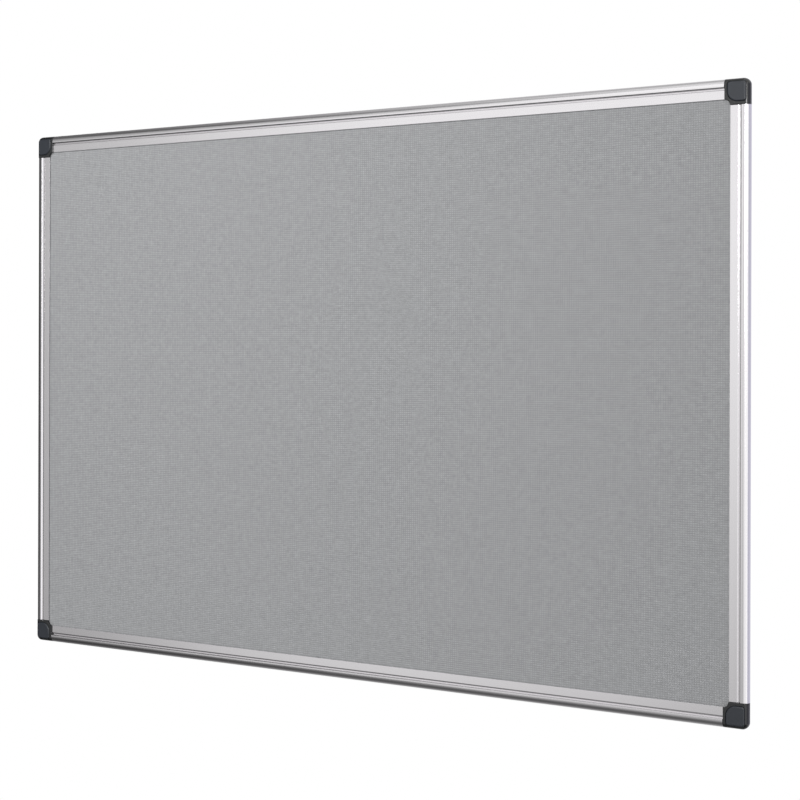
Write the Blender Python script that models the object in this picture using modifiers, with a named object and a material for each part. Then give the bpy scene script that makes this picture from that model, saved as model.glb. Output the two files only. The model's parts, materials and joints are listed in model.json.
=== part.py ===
"""A fabric notice board in an aluminium frame, to hang flat on a wall.

Metres, X to the right, Y into the wall, Z up. The origin is the middle of the board's box.
Each corner has a frame of its own, an empty at the board's outer corner on the plane of the
nose's crown: x and y run inwards along the two rails, and z points out at the reader.
"""

import math

import bmesh
import bpy
from mathutils import Matrix

# Whole board
board_width = 0.900
board_height = 0.600
seat_gap = 0.0003
cut_overrun = 0.0020

# Pin board, from front to back
fabric_thickness = 0.0008
core_thickness = 0.0050
back_sheet_thickness = 0.0005

# Rail section: u runs in from the outer edge, d runs back from the crown of the nose
rail_width = 0.0190
rail_wall = 0.0012
nose_width = 0.0072
nose_depth = 0.0040
nose_land = 0.0015
crown_land = 0.0006
crown_edge_radius = 0.0003
groove_drop = 0.0024
groove_wall_width = 0.0006
groove_floor_width = 0.0013
groove_slope_width = 0.0011
flange_drop = 0.0015
flange_thickness = 0.0011
flange_edge_radius = 0.0002
chamber_width = 0.0084
rear_lip_width = 0.0042
rear_lip_thickness = 0.0010

# Corner bracket
bracket_size = 0.0244
bracket_edge_round = 0.0004
corner_land = 0.0009
block_size = 0.0172
pocket_inset = 0.0050
pocket_size = 0.0110
pocket_corner_radius = 0.0015
pocket_floor = 0.0020
wall_hole_diameter = 0.0065
core_out_wall = 0.0015
core_out_outer_wall = 0.0030
leg_length = 0.0220
leg_root = 0.0030
leg_chamfer = 0.0010

# Cover cap
cap_margin = 0.00285
cap_thickness = 0.0017
cap_proud = 0.0008
cap_corner_radius = 0.0025
cap_inner_radius = 0.0100
cap_edge_round = 0.0015
prong_width = 0.0040
prong_thickness = 0.0012
prong_length = 0.0050
prong_chamfer = 0.0005

# Countersunk self-tapping screw
screw_head_diameter = 0.0052
screw_head_rim = 0.0002
screw_head_height = 0.0015
screw_shank_diameter = 0.0029
screw_length = 0.0060
screw_tip = 0.0020
screw_inset = 0.0100
screw_across = 0.0072

# Steps of the round stretches
nose_steps = 10
small_arc_steps = 4
edge_steps = 2
corner_steps = 10
screw_steps = 16
hole_steps = 24

# What follows from the sizes above
weld_distance = seat_gap / 100
flange_back = flange_drop + flange_thickness
fabric_front = flange_back + seat_gap
core_front = fabric_front + fabric_thickness + seat_gap
back_sheet_front = core_front + core_thickness + seat_gap
channel_back = back_sheet_front + back_sheet_thickness + seat_gap
rail_depth = channel_back + rear_lip_thickness
nose_rear_radius = rail_depth - nose_depth - nose_land
crown_end = nose_width + crown_land
groove_wall_end = crown_end + groove_wall_width
groove_floor_end = groove_wall_end + groove_floor_width
flange_start = groove_floor_end + groove_slope_width
chamber_inner = rail_wall + chamber_width
channel_inner = chamber_inner + rail_wall
panel_inset = channel_inner + seat_gap
corner_radius = max(nose_depth, nose_rear_radius) + corner_land
crown_y = cap_proud - (rail_depth + cap_proud) / 2
rail_end = bracket_size + seat_gap
pocket_centre = pocket_inset + pocket_size / 2
pocket_depth = rail_depth - pocket_floor
cap_size = bracket_size - 2 * cap_margin
cap_centre = bracket_size / 2
cap_back = cap_thickness - cap_proud

# The corners, by the turn about Y that takes the bottom left one to each
corners = {
    "bottom_left": (-1, -1, 0),
    "bottom_right": (1, -1, -90),
    "top_right": (1, 1, 180),
    "top_left": (-1, 1, 90),
}

# Each rail: the turn about Y, its middle as shares of the half sizes, and its two corners.
# The letter is the arm of that corner's bracket that the rail goes over.
rails = {
    "rail_left": (0, -1, 0, (("bottom_left", "y"), ("top_left", "x"))),
    "rail_bottom": (-90, 0, -1, (("bottom_right", "y"), ("bottom_left", "x"))),
    "rail_right": (180, 1, 0, (("top_right", "y"), ("bottom_right", "x"))),
    "rail_top": (90, 0, 1, (("top_left", "y"), ("top_right", "x"))),
}

for old in list(bpy.data.objects):
    bpy.data.objects.remove(old)

parts = bpy.data.collections.new("bulletin_board")
cutters = bpy.data.collections.new("cutters")
bpy.context.scene.collection.children.link(parts)
bpy.context.scene.collection.children.link(cutters)


# Materials

def material(name, srgb, roughness, metallic=0.0):
    """A plain Principled finish; the colour is given as 8-bit sRGB."""
    made = bpy.data.materials.new(name)
    made.use_nodes = True
    shader = made.node_tree.nodes["Principled BSDF"]
    linear = [(c / 255 / 12.92) if c < 11 else ((c / 255 + 0.055) / 1.055) ** 2.4 for c in srgb]
    shader.inputs["Base Color"].default_value = (*linear, 1)
    shader.inputs["Roughness"].default_value = roughness
    shader.inputs["Metallic"].default_value = metallic
    return made


anodised_aluminium = material("anodised_aluminium", (214, 215, 219), 0.32, 1.0)
grey_fabric = material("grey_fabric", (156, 157, 160), 0.95)
softboard = material("softboard", (176, 142, 98), 0.95)
backing_paper = material("backing_paper", (200, 198, 192), 0.8)
bracket_plastic = material("bracket_plastic", (44, 46, 47), 0.35)
cap_plastic = material("cap_plastic", (74, 76, 80), 0.5)
zinc_plate = material("zinc_plate", (186, 188, 190), 0.3, 1.0)


# Shapes shared by several pieces

def oval_arc(x, y, radius_x, radius_y, start, end, steps):
    """Points along a stretch of an oval, from one angle to another, in degrees."""
    turn = (end - start) / steps
    angles = [math.radians(start + turn * i) for i in range(steps + 1)]
    return [(x + radius_x * math.cos(a), y + radius_y * math.sin(a)) for a in angles]


def arc(x, y, radius, start, end, steps):
    """Points along a round stretch."""
    return oval_arc(x, y, radius, radius, start, end, steps)


def rounded_square(x, y, size, radius, far_radius=None):
    """A square with its low corner at x, y; the corner furthest from it can be rounder."""
    far = far_radius or radius
    low_x, low_y, high_x, high_y = x + radius, y + radius, x + size, y + size
    return (
        arc(low_x, low_y, radius, 180, 270, small_arc_steps)
        + arc(high_x - radius, low_y, radius, 270, 360, small_arc_steps)
        + arc(high_x - far, high_y - far, far, 0, 90, corner_steps if far_radius else small_arc_steps)
        + arc(low_x, high_y - radius, radius, 90, 180, small_arc_steps)
    )


def welded_mesh(source):
    """The evaluated shape of an object as a mesh of its own, its loose caps joined on."""
    evaluated = source.evaluated_get(bpy.context.evaluated_depsgraph_get())
    mesh = bpy.data.meshes.new_from_object(evaluated)
    shape = bmesh.new()
    shape.from_mesh(mesh)
    bmesh.ops.remove_doubles(shape, verts=shape.verts, dist=weld_distance)
    bmesh.ops.dissolve_limit(
        shape, angle_limit=math.radians(0.5), verts=shape.verts, edges=shape.edges
    )
    shape.to_mesh(mesh)
    shape.free()
    return mesh


def extruded(name, outlines, front, back):
    """A flat outline, with any holes in it, carried from one height to another."""
    curve = bpy.data.curves.new(name, "CURVE")
    curve.dimensions = "2D"
    curve.fill_mode = "BOTH"
    curve.extrude = (front - back) / 2
    for outline in outlines:
        spline = curve.splines.new("POLY")
        spline.points.add(len(outline) - 1)
        for point, (x, y) in zip(spline.points, outline):
            point.co = (x, y, 0, 1)
        spline.use_cyclic_u = True
    flat = bpy.data.objects.new(name, curve)
    cutters.objects.link(flat)
    mesh = welded_mesh(flat)
    bpy.data.objects.remove(flat)
    bpy.data.curves.remove(curve)
    mesh.name = name
    mesh.transform(Matrix.Translation((0, 0, (front + back) / 2)))
    return mesh


def turned(name, profile):
    """A profile of radius and height, from the top down, turned about Z."""
    line = bpy.data.meshes.new(name + "_profile")
    edges = [(i, i + 1) for i in range(len(profile) - 1)]
    line.from_pydata([(radius, 0, height) for radius, height in profile], edges, [])
    lathe = bpy.data.objects.new(name, line)
    cutters.objects.link(lathe)
    screw = lathe.modifiers.new("Turn", "SCREW")
    screw.axis = "Z"
    screw.steps = screw_steps
    screw.render_steps = screw_steps
    screw.use_merge_vertices = True
    screw.merge_threshold = weld_distance
    mesh = welded_mesh(lathe)
    bpy.data.objects.remove(lathe)
    bpy.data.meshes.remove(line)
    mesh.name = name
    return mesh


def rounded_edges(mesh, chosen, radius, steps):
    """Rounds the edges of a mesh whose two ends both pass a test."""
    shape = bmesh.new()
    shape.from_mesh(mesh)
    edges = [e for e in shape.edges if chosen(e.verts[0].co) and chosen(e.verts[1].co)]
    bmesh.ops.bevel(
        shape, geom=edges, offset=radius, segments=steps, profile=0.5, affect="EDGES"
    )
    shape.to_mesh(mesh)
    shape.free()


def joined(name, meshes):
    """Several meshes as the loose shells of one, to serve as a tool."""
    shape = bmesh.new()
    for mesh in meshes:
        shape.from_mesh(mesh)
    whole = bpy.data.meshes.new(name)
    shape.to_mesh(whole)
    shape.free()
    return whole


def placed(name, mesh, finish, parent=None, at=(0, 0, 0), turn=(0, 0, 0)):
    """A piece of the board, shaded smooth across its round stretches."""
    if not mesh.materials:
        mesh.materials.append(finish)
        mesh.shade_smooth()
        mesh.set_sharp_from_angle(angle=math.radians(35))
    piece = bpy.data.objects.new(name, mesh)
    piece.parent = parent
    piece.location = at
    piece.rotation_euler = turn
    parts.objects.link(piece)
    return piece


def tool(name, mesh, parent, at=(0, 0, 0), turn=(0, 0, 0)):
    """A shape that only cuts or adds to others."""
    made = bpy.data.objects.new(name, mesh)
    made.parent = parent
    made.location = at
    made.rotation_euler = turn
    made.hide_render = True
    made.display_type = "WIRE"
    cutters.objects.link(made)
    return made


def use(piece, made, operation):
    step = piece.modifiers.new(made.name, "BOOLEAN")
    step.operation = operation
    step.object = made


# Corner frames

frames = {}
for corner, (side, level, turn) in corners.items():
    frame = bpy.data.objects.new("frame_" + corner, None)
    frame.location = (side * board_width / 2, crown_y, level * board_height / 2)
    frame.rotation_euler = (math.radians(90), math.radians(turn), 0)
    frame.empty_display_size = bracket_size
    parts.objects.link(frame)
    frames[corner] = frame
bpy.context.view_layer.update()


# Pin board: three flat sheets of one outline, notched to clear the blocks of the brackets

def panel_outline():
    """The outline about its middle, from the low left notch round by way of the low right."""
    half_x = board_width / 2 - panel_inset
    half_y = board_height / 2 - panel_inset
    notch = block_size + seat_gap - panel_inset
    points = []
    for x, y in ((-1, -1), (1, -1), (1, 1), (-1, 1)):
        across = (x * (half_x - notch), y * half_y)
        inner = (x * (half_x - notch), y * (half_y - notch))
        down = (x * half_x, y * (half_y - notch))
        points += [down, inner, across] if x * y > 0 else [across, inner, down]
    return points


for name, front, thickness, finish in (
    ("fabric_face", fabric_front, fabric_thickness, grey_fabric),
    ("core_board", core_front, core_thickness, softboard),
    ("back_sheet", back_sheet_front, back_sheet_thickness, backing_paper),
):
    sheet = extruded(name, [panel_outline()], -front, -front - thickness)
    placed(name, sheet, finish, at=(0, crown_y, 0), turn=(math.radians(90), 0, 0))


# Screws: one turned shape, and the same shape grown by the gap to cut their holes

head_radius = screw_head_diameter / 2
shank_radius = screw_shank_diameter / 2
screw_mesh = turned("screw", [
    (0, 0),
    (head_radius, 0),
    (head_radius, -screw_head_rim),
    (shank_radius, -screw_head_height),
    (shank_radius, screw_tip - screw_length),
    (0, -screw_length),
])
screw_cut = turned("screw_hole", [
    (0, cut_overrun),
    (head_radius + seat_gap, cut_overrun),
    (head_radius + seat_gap, -screw_head_rim),
    (shank_radius + seat_gap, -screw_head_height),
    (shank_radius + seat_gap, -screw_length - seat_gap),
    (0, -screw_length - seat_gap),
])
screw_along = rail_end + screw_inset
screw_places = {
    "x": (screw_along, screw_across, -rail_depth),
    "y": (screw_across, screw_along, -rail_depth),
}
screw_turn = (math.radians(180), 0, 0)
screw_holes = {}
for corner, frame in frames.items():
    for arm, place in screw_places.items():
        placed("screw_%s_%s" % (corner, arm), screw_mesh, zinc_plate, frame, place, screw_turn)
        hole = tool("hole_%s_%s" % (corner, arm), screw_cut, frame, place, screw_turn)
        screw_holes[corner, arm] = hole


# Rails: one extruded section, with a chamber for the legs of the brackets

def rear_round(wall):
    """The round back of the nose, or of what lies inside it by a wall."""
    middle = nose_depth + nose_land
    return arc(nose_rear_radius, middle, nose_rear_radius - wall, 90, 180, nose_steps)


def rail_outline():
    """The outside, from the outer edge over the crown and the groove to the flange and back."""
    edge = arc(
        rail_width - flange_edge_radius, flange_drop + flange_edge_radius,
        flange_edge_radius, 270, 360, small_arc_steps,
    )
    rear_lip_end = channel_inner + rear_lip_width
    return (
        oval_arc(nose_width, nose_depth, nose_width, nose_depth, 180, 270, nose_steps)
        + arc(
            crown_end - crown_edge_radius, crown_edge_radius,
            crown_edge_radius, 270, 360, edge_steps,
        )
        + [(groove_wall_end, groove_drop), (groove_floor_end, groove_drop)]
        + [(flange_start, flange_drop)]
        + edge
        + [(rail_width, flange_back), (channel_inner, flange_back)]
        + [(channel_inner, channel_back), (rear_lip_end, channel_back)]
        + [(rear_lip_end, rail_depth)]
        + rear_round(0)
    )


def chamber_outline(wall):
    """The inside of the nose, or a leg that goes in it, which stands off by a thicker wall."""
    inner = chamber_inner - (wall - rail_wall)
    radius_u, radius_d = nose_width - wall, nose_depth - wall
    front_end = 360 - math.degrees(math.acos((crown_end - wall - nose_width) / radius_u))
    return (
        oval_arc(nose_width, nose_depth, radius_u, radius_d, 180, front_end, nose_steps)
        + [(groove_wall_end - wall, groove_drop + wall), (inner, groove_drop + wall)]
        + [(inner, rail_depth - wall)]
        + rear_round(wall)
    )


for name, (turn, across, up, ends) in rails.items():
    length = (board_height if across else board_width) - 2 * rail_end
    bar = extruded(name, [rail_outline(), chamber_outline(rail_wall)], length / 2, -length / 2)
    middle = (across * board_width / 2, crown_y, up * board_height / 2)
    rail = placed(name, bar, anodised_aluminium, at=middle, turn=(0, math.radians(turn), 0))
    for end in ends:
        use(rail, screw_holes[end], "DIFFERENCE")


# Corner brackets: a moulded body whose two legs go into the chambers of the rails

bracket_hollow = bracket_size - rail_width


def bracket_outline():
    """The outer corner is round, and the inner one is hollowed out to meet both flanges."""
    return (
        arc(corner_radius, corner_radius, corner_radius, 180, 270, corner_steps)
        + [(bracket_size, 0)]
        + arc(bracket_size, bracket_size, bracket_hollow, 270, 180, corner_steps)
        + [(0, bracket_size)]
    )


def on_outer_side(point):
    low, high = sorted((point.x, point.y))
    return low < weld_distance or high < corner_radius - weld_distance


def on_front(point):
    return point.z > -weld_distance and on_outer_side(point)


def on_back(point):
    return point.z < weld_distance - rail_depth and on_outer_side(point)


def on_front_end(point):
    from_hollow = math.hypot(bracket_size - point.x, bracket_size - point.y) - bracket_hollow
    from_end = bracket_size - max(point.x, point.y)
    return point.z > -nose_depth - weld_distance and min(from_end, from_hollow) < weld_distance


body = extruded("bracket_body", [bracket_outline()], 0, -rail_depth)
rounded_edges(body, on_front, nose_depth, nose_steps)
rounded_edges(body, on_back, nose_rear_radius, nose_steps)
rounded_edges(body, on_front_end, bracket_edge_round, edge_steps)

leg_section = chamber_outline(rail_wall + seat_gap)
leg_start = bracket_size - leg_root
leg_end = bracket_size + leg_length
leg_y = extruded("leg_y", [leg_section], leg_end, leg_start)
rounded_edges(leg_y, lambda point: point.z > leg_end - weld_distance, leg_chamfer, 1)
leg_y.transform(Matrix.Rotation(math.radians(-90), 4, "X"))
leg_x = extruded("leg_x", [leg_section], -leg_start, -leg_end)
rounded_edges(leg_x, lambda point: point.z < weld_distance - leg_end, leg_chamfer, 1)
leg_x.transform(Matrix.Rotation(math.radians(90), 4, "Z") @ Matrix.Rotation(math.radians(-90), 4, "X"))
legs = joined("bracket_legs", [leg_x, leg_y])


def slot_outline(inner):
    """What the edge of the pin board takes up beside the block, out past the bracket."""
    out = bracket_size + cut_overrun
    return [
        (inner, block_size), (block_size, block_size), (block_size, inner),
        (out, inner), (out, out), (inner, out),
    ]


def cap_outline(grow):
    return rounded_square(
        cap_margin - grow, cap_margin - grow, cap_size + 2 * grow,
        cap_corner_radius + grow, cap_inner_radius + grow,
    )


core_out_length = bracket_size - block_size - core_out_wall
core_out_width = channel_inner - core_out_outer_wall - core_out_wall
core_out_back = -rail_depth - cut_overrun
core_out_front = -flange_back - core_out_wall


def core_out(name, x, y, size_x, size_y):
    outline = [(x, y), (x + size_x, y), (x + size_x, y + size_y), (x, y + size_y)]
    return extruded(name, [outline], core_out_front, core_out_back)


hole_radius = wall_hole_diameter / 2
hole_outline = arc(pocket_centre, pocket_centre, hole_radius, 0, 360, hole_steps)[:-1]
bracket_tools = {
    "cap_seat": extruded(
        "cap_seat", [cap_outline(seat_gap)], cut_overrun, -cap_back - seat_gap
    ),
    "screw_pocket": extruded(
        "screw_pocket",
        [rounded_square(pocket_inset, pocket_inset, pocket_size, pocket_corner_radius)],
        cut_overrun, -pocket_depth,
    ),
    "wall_hole": extruded(
        "wall_hole", [hole_outline], -pocket_depth + cut_overrun, -rail_depth - cut_overrun
    ),
    "panel_slot": extruded(
        "panel_slot", [slot_outline(channel_inner)], -flange_back, -channel_back
    ),
    "rear_opening": extruded(
        "rear_opening", [slot_outline(channel_inner + rear_lip_width)],
        -flange_back - seat_gap, -rail_depth - cut_overrun,
    ),
    "core_outs": joined("core_outs", [
        core_out("core_out_x", block_size, core_out_outer_wall, core_out_length, core_out_width),
        core_out("core_out_y", core_out_outer_wall, block_size, core_out_width, core_out_length),
    ]),
}

for corner, frame in frames.items():
    bracket = placed("corner_bracket_" + corner, body, bracket_plastic, frame)
    use(bracket, tool("legs_" + corner, legs, frame), "UNION")
    for label, mesh in bracket_tools.items():
        use(bracket, tool("%s_%s" % (label, corner), mesh, frame), "DIFFERENCE")
    for arm in screw_places:
        use(bracket, screw_holes[corner, arm], "DIFFERENCE")


# Cover caps: a plate that fills its seat, on four prongs that grip the walls of the pocket

def on_cap_front(point):
    return point.z > cap_proud - weld_distance


def prong(name, x, y, size_x, size_y):
    outline = [(x, y), (x + size_x, y), (x + size_x, y + size_y), (x, y + size_y)]
    tip = -cap_back - prong_length
    made = extruded(name, [outline], cap_proud - cap_thickness / 2, tip)
    rounded_edges(made, lambda point: point.z < tip + weld_distance, prong_chamfer, 1)
    made.transform(Matrix.Translation((-cap_centre, -cap_centre, 0)))
    return made


cap_plate = extruded("cap_plate", [cap_outline(0)], cap_proud, -cap_back)
rounded_edges(cap_plate, on_cap_front, cap_edge_round, small_arc_steps)
cap_plate.transform(Matrix.Translation((-cap_centre, -cap_centre, 0)))
low = pocket_inset + seat_gap
high = pocket_inset + pocket_size - seat_gap - prong_thickness
side = pocket_centre - prong_width / 2
prongs = joined("cap_prongs", [
    prong("prong_left", low, side, prong_thickness, prong_width),
    prong("prong_right", high, side, prong_thickness, prong_width),
    prong("prong_low", side, low, prong_width, prong_thickness),
    prong("prong_high", side, high, prong_width, prong_thickness),
])
for corner, frame in frames.items():
    middle = (cap_centre, cap_centre, 0)
    cap = placed("cover_cap_" + corner, cap_plate, cap_plastic, frame, middle)
    use(cap, tool("prongs_" + corner, prongs, cap), "UNION")
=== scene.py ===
"""The grey notice board of the photo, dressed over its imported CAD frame.

Metres, X to the right, Y into the wall, Z up. The pieces follow the board as it is put together:
the core, its fabric cover and backing, the rails, the corner pieces, their caps and the screws.
"""
import json
import math

import bmesh
import bpy
from mathutils import Matrix, Vector

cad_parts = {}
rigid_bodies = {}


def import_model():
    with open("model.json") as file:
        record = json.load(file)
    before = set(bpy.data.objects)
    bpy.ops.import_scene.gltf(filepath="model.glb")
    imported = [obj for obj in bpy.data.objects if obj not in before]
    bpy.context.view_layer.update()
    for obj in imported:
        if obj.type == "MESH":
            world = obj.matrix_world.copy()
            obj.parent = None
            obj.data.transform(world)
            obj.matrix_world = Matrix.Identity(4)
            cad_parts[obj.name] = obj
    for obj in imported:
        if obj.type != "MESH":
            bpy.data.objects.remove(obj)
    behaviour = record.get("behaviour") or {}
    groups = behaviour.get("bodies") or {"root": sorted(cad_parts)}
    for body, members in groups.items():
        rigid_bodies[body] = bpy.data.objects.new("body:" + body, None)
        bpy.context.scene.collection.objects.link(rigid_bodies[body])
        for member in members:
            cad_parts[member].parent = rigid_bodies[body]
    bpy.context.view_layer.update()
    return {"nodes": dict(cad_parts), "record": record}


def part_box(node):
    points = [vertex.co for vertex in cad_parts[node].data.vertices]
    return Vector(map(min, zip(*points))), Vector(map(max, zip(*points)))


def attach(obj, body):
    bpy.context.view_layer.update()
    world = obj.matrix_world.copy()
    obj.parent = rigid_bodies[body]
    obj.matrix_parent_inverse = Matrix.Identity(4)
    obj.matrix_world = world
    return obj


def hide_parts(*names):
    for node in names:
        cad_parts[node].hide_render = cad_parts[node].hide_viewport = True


for old in list(bpy.data.objects):
    bpy.data.objects.remove(old)
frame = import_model()
scene = bpy.context.scene
scene.view_settings.view_transform = "Standard"

# Camera
# The photo was taken from the right of the board, level and a little above its middle, with a
# short telephoto lens. The board's four outline lines give the place, the turn and the lens.
camera_place = (1.0708, -1.5391, 0.0526)
camera_turn = math.radians(33.164)
camera_roll = math.radians(0.152)
camera_lens = 79.69
camera_shift = -0.06806

camera_data = bpy.data.cameras.new("camera")
camera_data.lens = camera_lens
camera_data.shift_y = camera_shift
camera = bpy.data.objects.new("camera", camera_data)
camera.matrix_world = (
    Matrix.Translation(camera_place)
    @ Matrix.Rotation(camera_turn, 4, "Z")
    @ Matrix.Rotation(math.radians(90), 4, "X")
    @ Matrix.Rotation(camera_roll, 4, "Z")
)
scene.collection.objects.link(camera)
scene.camera = camera


# Softboard core
# A 5 mm board of pressed wood fibre that takes the pins. It is cut on a saw, glued to the back of
# the fabric and held by its edges in the channels of the rails.
core_fibre = 0.005


def feed(tree, node, inputs):
    """Gives a node its inputs by name or number, as values or as links from other sockets."""
    for name, value in inputs.items():
        if isinstance(value, bpy.types.NodeSocket):
            tree.links.new(value, node.inputs[name])
        else:
            node.inputs[name].default_value = value


def add(tree, kind, inputs=None, **settings):
    """A node with its settings and inputs."""
    made = tree.nodes.new(kind)
    for name, value in settings.items():
        setattr(made, name, value)
    feed(tree, made, inputs or {})
    return made


def math_node(tree, operation, *values):
    """The result of a Math node."""
    return add(tree, "ShaderNodeMath", dict(enumerate(values)), operation=operation).outputs[0]


def scaled_vector(tree, vector, scale):
    """A coordinate stretched by its own factor along each axis."""
    made = add(tree, "ShaderNodeVectorMath", {0: vector, 1: scale}, operation="MULTIPLY")
    return made.outputs[0]


def noise(tree, vector, scale, detail=2.0, roughness=0.5):
    """The value of a noise, about a half on average."""
    inputs = {"Vector": vector, "Scale": scale, "Detail": detail, "Roughness": roughness}
    return add(tree, "ShaderNodeTexNoise", inputs).outputs[0]


def mixed(tree, factor, low, high, blend="MIX"):
    """The mix of two colours."""
    inputs = {0: factor, 6: low, 7: high}
    return add(tree, "ShaderNodeMix", inputs, data_type="RGBA", blend_type=blend).outputs[2]


def grey(srgb, blue=0.0):
    """A grey given as an 8-bit sRGB level, with a share of blue, as a linear colour."""
    level = ((srgb / 255 + 0.055) / 1.055) ** 2.4
    return (level * (1 - blue / 2), level, level * (1 + blue), 1)


def effect(name, inputs, outputs):
    """A shader node group with named sockets: its tree, what comes in and what goes out."""
    group = bpy.data.node_groups.new(name, "ShaderNodeTree")
    for label, kind, value in inputs:
        socket = group.interface.new_socket(label, in_out="INPUT", socket_type=kind)
        if value is not None:
            socket.default_value = value
    for label in outputs:
        group.interface.new_socket(label, in_out="OUTPUT", socket_type="NodeSocketFloat")
    inside = group.nodes.new("NodeGroupInput").outputs
    return group, inside, group.nodes.new("NodeGroupOutput").inputs


def use_effect(tree, group, inputs):
    """What an effect puts out in a material, fed by name."""
    return add(tree, "ShaderNodeGroup", inputs, node_tree=group).outputs


def new_material(name):
    """An empty node material, its tree, its Principled shader and its object coordinates."""
    made = bpy.data.materials.new(name)
    made.use_nodes = True
    tree = made.node_tree
    place = tree.nodes.new("ShaderNodeTexCoord").outputs["Object"]
    return made, tree, tree.nodes["Principled BSDF"], place


def bump(tree, height, distance, strength=1.0):
    """The normal of a fine relief."""
    inputs = {"Height": height, "Distance": distance, "Strength": strength}
    return add(tree, "ShaderNodeBump", inputs).outputs[0]


fibres, fibres_in, fibres_out = effect(
    "pressed_fibres",
    [("Place", "NodeSocketVector", None), ("Fibre Length", "NodeSocketFloat", 0.004)],
    ["Mask", "Height"],
)
density = math_node(fibres, "DIVIDE", 1.0, fibres_in["Fibre Length"])
strands = [
    noise(fibres, scaled_vector(fibres, fibres_in["Place"], stretch), density, 3.0)
    for stretch in ((1.0, 1.0, 6.0), (6.0, 1.0, 1.0), (3.0, 1.0, 3.0))
]
upper = math_node(fibres, "MAXIMUM", strands[0], strands[1])
upper = math_node(fibres, "MAXIMUM", upper, strands[2])
raised_fibres = add(fibres, "ShaderNodeMapRange", {0: upper, 1: 0.45, 2: 0.75}).outputs[0]
fibres.links.new(upper, fibres_out["Height"])
fibres.links.new(raised_fibres, fibres_out["Mask"])

softboard, tree, shader, place = new_material("softboard")
pressed = use_effect(tree, fibres, {"Place": place, "Fibre Length": core_fibre})
feed(tree, shader, {
    "Base Color": mixed(tree, pressed["Mask"], (0.30, 0.18, 0.08, 1), (0.52, 0.35, 0.18, 1)),
    "Normal": bump(tree, pressed["Height"], 0.0003),
    "Roughness": 0.95, "Specular IOR Level": 0.2,
})

core = frame["nodes"]["core_board"]
core.data.materials.clear()
core.data.materials.append(softboard)


# Fabric cover
# A grey plain-weave cloth of thick weft yarns over thinner warp. It is stretched over the core,
# cut to the channels of the rails and notched at the corners to clear the corner pieces.
cloth_low, cloth_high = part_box("fabric_face")
cloth_notch = 0.0064
cloth_columns = 26
weft_pitch = 0.0021
warp_pitch = 0.0025
weft_relief = 0.00012
strips_per_weft = 4
edge_strips = 2
crossing_rise = 0.13
weft_rise = 0.14
warp_rise = 0.11
yarn_change_along = 130.0
yarn_change_across = 2.3
fuzz_scale = 1400.0
weld_distance = 0.00001


def geometry_tree(name, inputs):
    """A Geometry Nodes tree with named inputs: the tree, what comes in and its output node."""
    tree = bpy.data.node_groups.new(name, "GeometryNodeTree")
    for kind, labels in inputs.items():
        for label in labels:
            tree.interface.new_socket(label, in_out="INPUT", socket_type="NodeSocket" + kind)
    tree.interface.new_socket("Geometry", in_out="OUTPUT", socket_type="NodeSocketGeometry")
    return tree, tree.nodes.new("NodeGroupInput").outputs, tree.nodes.new("NodeGroupOutput")


def finish_tree(tree, shape, material, out):
    """Ends a tree in plain faces of the given material."""
    real = add(tree, "GeometryNodeRealizeInstances", {0: shape}).outputs[0]
    painted = add(tree, "GeometryNodeSetMaterial", {"Geometry": real, "Material": material})
    tree.links.new(painted.outputs[0], out.inputs[0])


def smooth(mesh, sharp_from=35.0):
    """Smooth shading across the round stretches of a mesh."""
    mesh.shade_smooth()
    mesh.set_sharp_from_angle(angle=math.radians(sharp_from))


def made_by(tree, name, values, place=Matrix.Identity(4)):
    """A plain mesh object evaluated from a tree, with its inputs set by their identifiers."""
    carrier = bpy.data.objects.new(name + "_carrier", bpy.data.meshes.new(name + "_carrier"))
    scene.collection.objects.link(carrier)
    step = carrier.modifiers.new("Make", "NODES")
    step.node_group = tree
    for item in tree.interface.items_tree:
        if item.in_out == "INPUT" and item.name in values:
            step[item.identifier] = values[item.name]
    carrier.update_tag()
    evaluated = carrier.evaluated_get(bpy.context.evaluated_depsgraph_get())
    mesh = bpy.data.meshes.new_from_object(evaluated)
    mesh.name = name
    mesh.transform(place)
    bpy.data.objects.remove(carrier)
    smooth(mesh)
    made = bpy.data.objects.new(name, mesh)
    scene.collection.objects.link(made)
    return made


def coordinates(tree, vector):
    """The three coordinates of a vector."""
    return add(tree, "ShaderNodeSeparateXYZ", {0: vector}).outputs


def vector_of(tree, x=0.0, y=0.0, z=0.0):
    """A vector of three values or sockets."""
    return add(tree, "ShaderNodeCombineXYZ", {0: x, 1: y, 2: z}).outputs[0]


def position_in(tree):
    """The coordinates of each point of a shape."""
    return coordinates(tree, tree.nodes.new("GeometryNodeInputPosition").outputs[0])


def closed(tree, sheet, offset):
    """A flat sheet carried by an offset, and the same sheet turned round to close its back."""
    inputs = {"Mesh": sheet, "Offset": offset, "Offset Scale": 1.0, "Individual": False}
    carried = add(tree, "GeometryNodeExtrudeMesh", inputs, mode="FACES").outputs
    return carried, add(tree, "GeometryNodeFlipFaces", {0: sheet}).outputs[0]


def joined(tree, *shapes):
    """Several shapes as one."""
    join = tree.nodes.new("GeometryNodeJoinGeometry")
    for shape in shapes:
        tree.links.new(shape, join.inputs[0])
    return join.outputs[0]


def welded(tree, *shapes):
    """Several shapes as one, closed along the edges where they meet."""
    inputs = {"Geometry": joined(tree, *shapes), "Distance": weld_distance}
    return add(tree, "GeometryNodeMergeByDistance", inputs).outputs[0]


def waves(tree, turns):
    """A cosine that comes back at each whole turn."""
    return math_node(tree, "COSINE", math_node(tree, "MULTIPLY", turns, 2 * math.pi))


def levelled(tree, colour, level):
    """A colour times a level."""
    made = add(tree, "ShaderNodeVectorMath", {0: colour, 3: level}, operation="SCALE")
    return made.outputs[0]


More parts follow.
